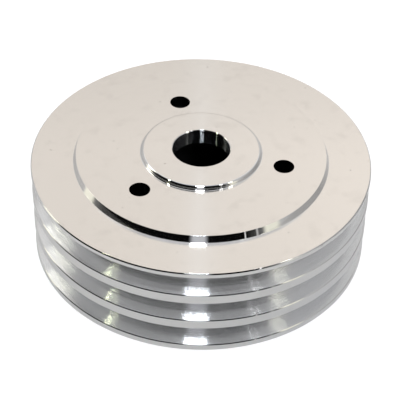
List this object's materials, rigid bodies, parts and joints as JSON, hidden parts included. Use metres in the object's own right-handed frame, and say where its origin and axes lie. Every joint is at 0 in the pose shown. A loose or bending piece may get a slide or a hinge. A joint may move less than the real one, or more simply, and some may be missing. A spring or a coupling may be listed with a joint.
{
  "type": "crankshaft pulley",
  "caption": "Turned aluminium crankshaft pulley with V-belt grooves round its rim, a stepped front face, a pilot bore, bolt holes and a hollow back.",
  "frame": {"origin": "on the shaft axis, in the plane of the rim's rear face", "axes": "+Z along the shaft axis towards the front face, with a bolt hole on +Y"},
  "size_m": [0.17, 0.17, 0.0556],
  "materials": {
    "turned_aluminium": "bright turned, satin across fine circular tool marks"
  },
  "bodies": {
    "root": {"crank_pulley": "turned_aluminium"}
  },
  "joints": []
}
